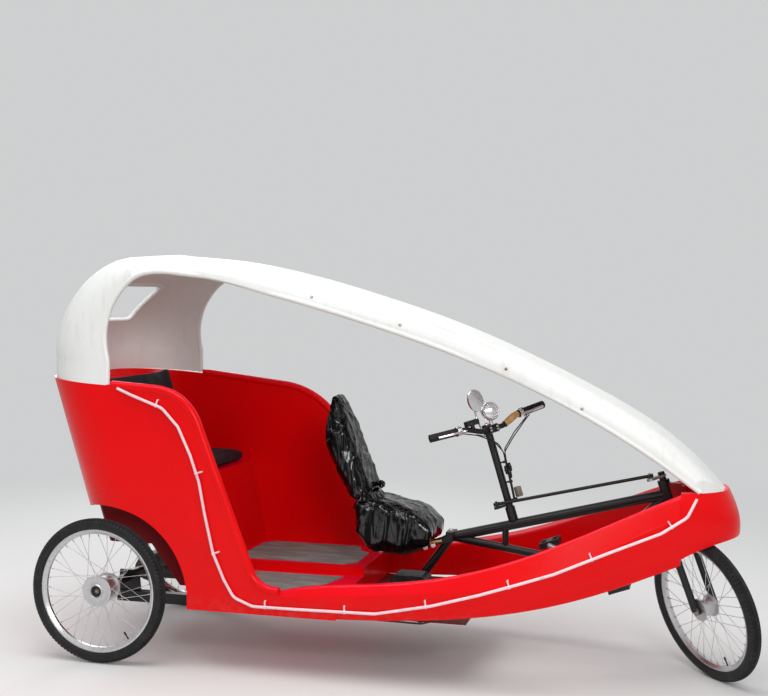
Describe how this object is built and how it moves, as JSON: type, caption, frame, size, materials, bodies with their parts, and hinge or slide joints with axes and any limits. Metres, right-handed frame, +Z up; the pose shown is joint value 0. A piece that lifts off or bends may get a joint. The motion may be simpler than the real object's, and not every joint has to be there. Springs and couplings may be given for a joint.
{
  "type": "cycle rickshaw",
  "caption": "Three-wheeled cycle rickshaw with a moulded passenger cab, a hood that arches forward to the nose, a pedal drive and a steered front wheel.",
  "frame": {"origin": "on the ground under the middle of the overall length and width", "axes": "+X forward, +Y to the vehicle's left, +Z up"},
  "size_m": [3.0098, 1.014, 1.7399],
  "materials": {
    "body_red": "high-gloss moulded plastic",
    "liner_red": "dark red moulded liner",
    "hood_white": "satin white moulding, slightly weathered",
    "cushion_black": "woven upholstery",
    "mat_grey": "grip mat",
    "cover_black": "crinkled sheet cover",
    "frame_black": "gloss black paint",
    "bracket_red": "red paint",
    "bar_black": "black bar",
    "steel": "bare steel",
    "chain_steel": "oiled steel",
    "lever_silver": "polished alloy",
    "lamp_silver": "bright plated shell",
    "mirror_glass": "mirror with dark back",
    "box_black": "black housing",
    "cable_black": "cable sleeves",
    "light_tube": "clear tube over small lamps",
    "grip_black": "soft grip",
    "pedal_black": "moulded pedal",
    "rim_silver": "anodised rim",
    "hub_silver": "cast and turned hub",
    "tyre_black": "tread rubber"
  },
  "bodies": {
    "vehicle": {"cab_shell": "body_red", "bench_moulding": "body_red", "wheel_boxes": "liner_red", "floor_pan": "body_red", "side_arm_right": "body_red", "side_arm_left": "body_red", "nose": "body_red", "hood_rear": "hood_white", "hood_spine": "hood_white", "seat_cushion": "cushion_black", "back_cushion": "cushion_black", "floor_mats": "mat_grey", "belly_pan": "liner_red", "battery_box": "box_black", "rope_light": "light_tube", "rope_clips": "light_tube", "seat_bracket": "frame_black", "driver_seat_base": "cover_black", "driver_seat_back": "cover_black", "frame_tubes": "frame_black", "head_tube": "frame_black", "bottom_bracket": "frame_black", "column_socket": "frame_black", "nose_bracket": "bracket_red", "chassis": "frame_black", "rear_axle": "frame_black", "chain": "chain_steel", "chain_idlers": "chain_steel"},
    "fork": {"fork": "frame_black", "fork_arm": "steel"},
    "front_wheel": {"front_tyre": "tyre_black", "front_rim": "rim_silver", "front_hub": "hub_silver"},
    "handlebar_column": {"column": "frame_black", "handlebar": "bar_black", "grips": "grip_black", "brake_levers": "lever_silver", "display": "box_black", "headlamp": "lamp_silver", "mirror": "mirror_glass", "control_cables": "cable_black"},
    "tie_rod": {"tie_rod": "frame_black"},
    "rear_wheel_left": {"rear_tyre_left": "tyre_black", "rear_rim_left": "rim_silver", "rear_hub_left": "hub_silver"},
    "rear_wheel_right": {"rear_tyre_right": "tyre_black", "rear_rim_right": "rim_silver", "rear_hub_right": "hub_silver"},
    "crank": {"crankset": "steel", "pedals": "pedal_black"}
  },
  "joints": [
    {"name": "fork_steer", "type": "hinge", "parent": "vehicle", "child": "fork", "pos_m": [1.13403, 0, 0.76], "axis": [-0.2857, 0, 0.9583], "range_deg": [-2, 106]},
    {"name": "front_wheel_spin", "type": "hinge", "parent": "fork", "child": "front_wheel", "pos_m": [1.29356, -0.02758, 0.3003], "axis": [0.7552, 0.6157, 0.2251], "continuous": true},
    {"name": "handlebar_steer", "type": "hinge", "parent": "vehicle", "child": "handlebar_column", "pos_m": [0.50556, 0, 0.606], "axis": [-0.2857, 0, 0.9583], "range_deg": [-4, 108]},
    {"name": "tie_rod_pivot", "type": "hinge", "parent": "handlebar_column", "child": "tie_rod", "pos_m": [0.43728, -0.03448, 0.6806], "axis": [-0.2857, 0, 0.9583], "range_deg": [-108, 4]},
    {"name": "rear_wheel_left_spin", "type": "hinge", "parent": "vehicle", "child": "rear_wheel_left", "pos_m": [-1.18444, 0.48, 0.3075], "axis": [0, 1, 0], "continuous": true},
    {"name": "rear_wheel_right_spin", "type": "hinge", "parent": "vehicle", "child": "rear_wheel_right", "pos_m": [-1.18444, -0.48, 0.3075], "axis": [0, 1, 0], "continuous": true},
    {"name": "crank_spin", "type": "hinge", "parent": "vehicle", "child": "crank", "pos_m": [0.80056, 0, 0.442], "axis": [0, 1, 0], "continuous": true}
  ],
  "couplings": [
    {"joint": "handlebar_steer", "follows": "fork_steer", "ratio": 1},
    {"joint": "tie_rod_pivot", "follows": "fork_steer", "ratio": -1}
  ]
}
